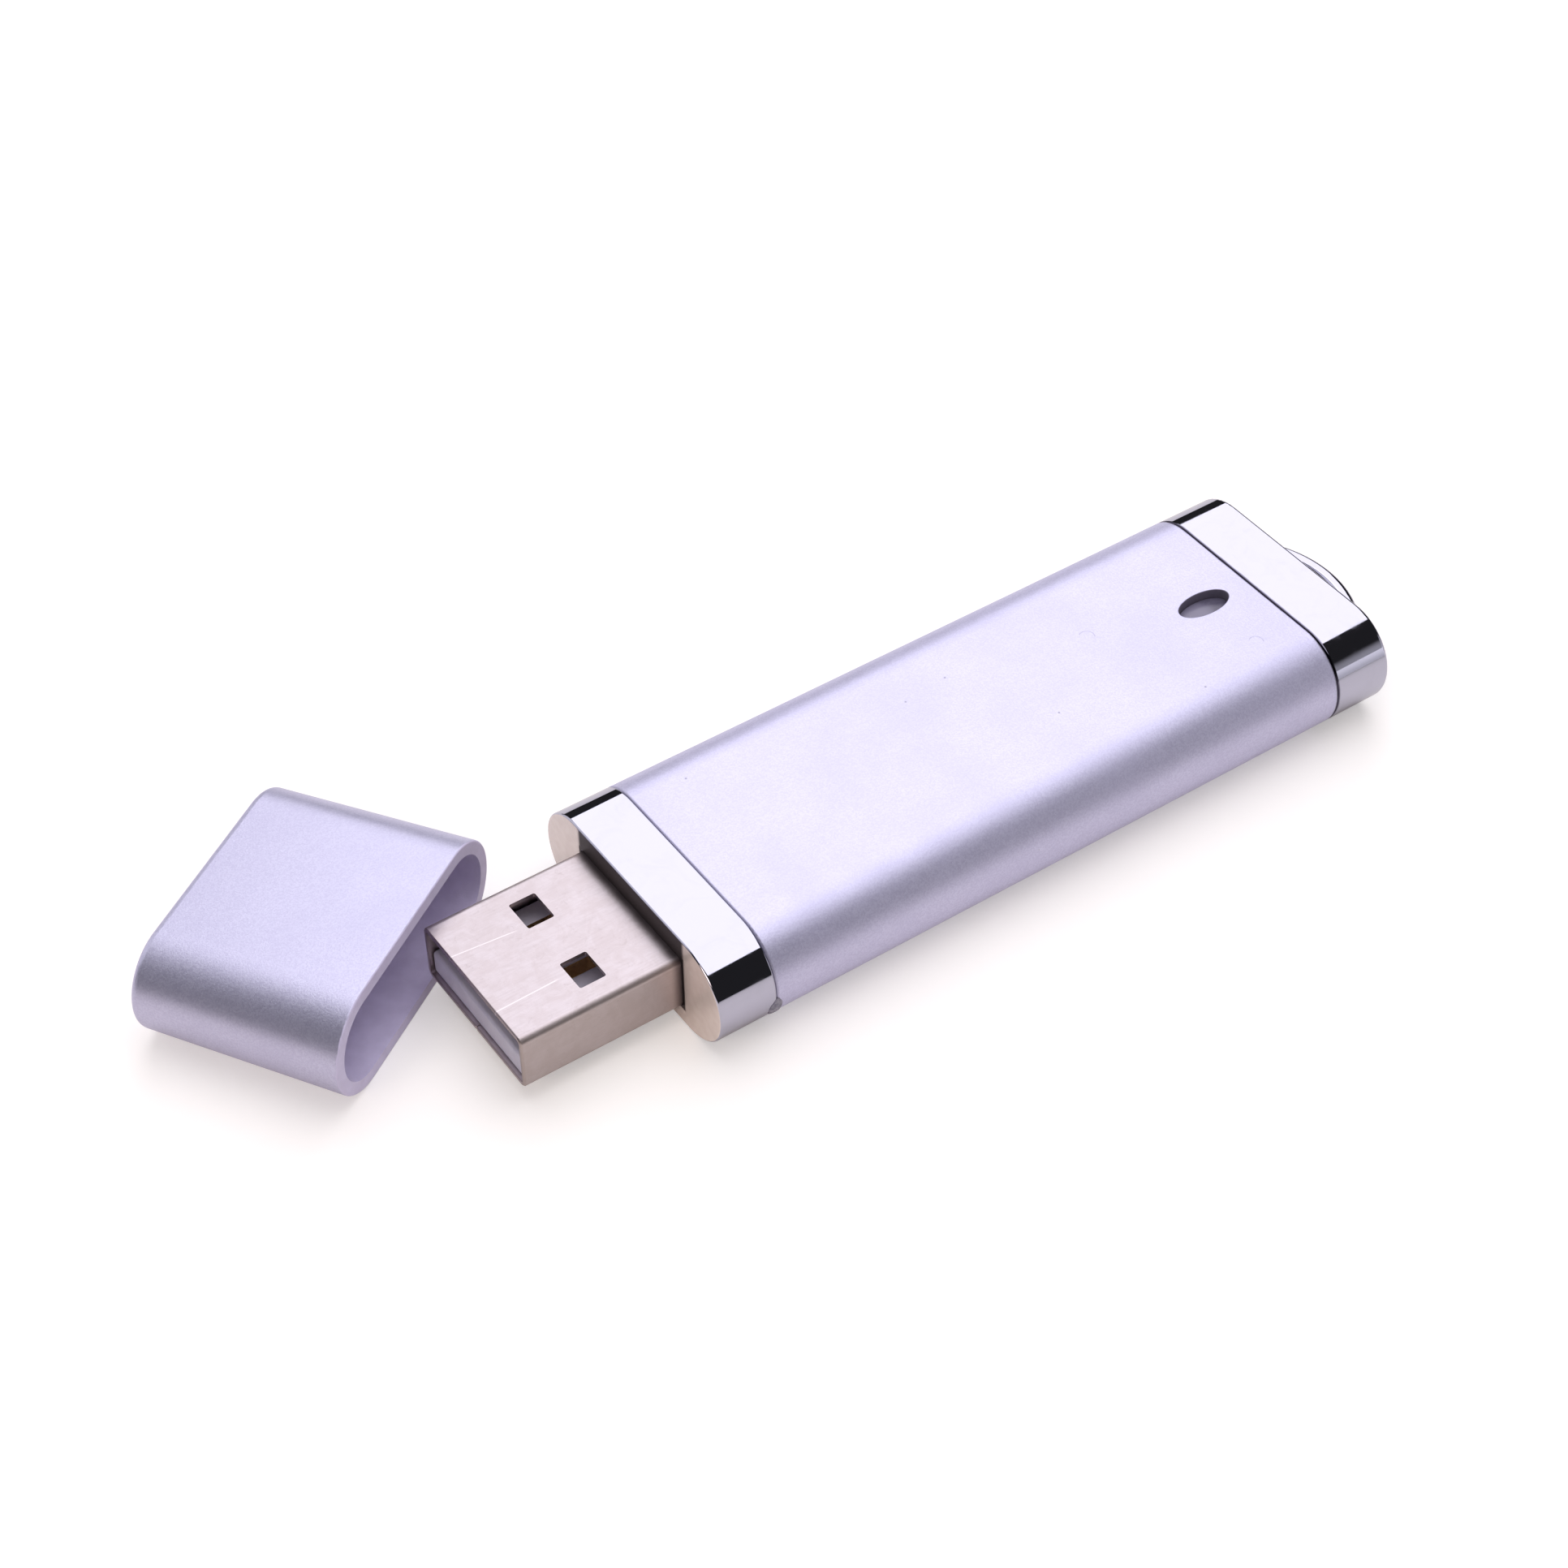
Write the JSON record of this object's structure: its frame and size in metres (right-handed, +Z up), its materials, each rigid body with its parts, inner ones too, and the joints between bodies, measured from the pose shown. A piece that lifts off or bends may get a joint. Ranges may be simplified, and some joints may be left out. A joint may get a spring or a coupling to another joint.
{
  "type": "usb flash drive",
  "caption": "Flat-oval USB flash drive with a standard plug, chrome collar and tail, status light window, lanyard loop and a separate pull-off cap lying beside it.",
  "frame": {"origin": "the point on the table's plane under the front face of the chrome collar, where the plug comes out, on the drive's middle plane", "axes": "+X along the drive from the plug to the lanyard loop, +Z up from the table"},
  "size_m": [0.0894, 0.0332, 0.008],
  "materials": {
    "silver_paint": "satin",
    "chrome_plating": "polished",
    "lens": "gloss",
    "plug_steel": "satin",
    "insulator": "satin",
    "gold_contacts": "polished",
    "board": "satin",
    "chip_black": "matte",
    "tin": "satin",
    "crystal_can": "satin",
    "led": "gloss",
    "capacitor_ceramic": "matte",
    "resistor_black": "matte"
  },
  "bodies": {
    "drive": {"main_sleeve": "silver_paint", "front_collar": "chrome_plating", "tail_cap": "chrome_plating", "led_lens": "lens", "usb_shell": "plug_steel", "plug_insulator": "insulator", "contact_power": "gold_contacts", "contact_data_minus": "gold_contacts", "contact_data_plus": "gold_contacts", "contact_ground": "gold_contacts", "circuit_board": "board", "flash_memory": "chip_black", "flash_leads": "tin", "controller": "chip_black", "controller_leads": "tin", "regulator": "chip_black", "regulator_leads": "tin", "crystal": "crystal_can", "status_led": "led", "capacitors": "capacitor_ceramic", "resistors": "resistor_black", "chip_terminals": "tin", "solder_joints": "tin"},
    "cap": {"cap": "silver_paint"}
  },
  "joints": [
    {"name": "cap_swing", "type": "hinge", "parent": "drive", "child": "cap", "pos_m": [-0.00218, 0.01449, 0], "axis": [0, 0, 1], "range_deg": [0, 57.4]}
  ]
}
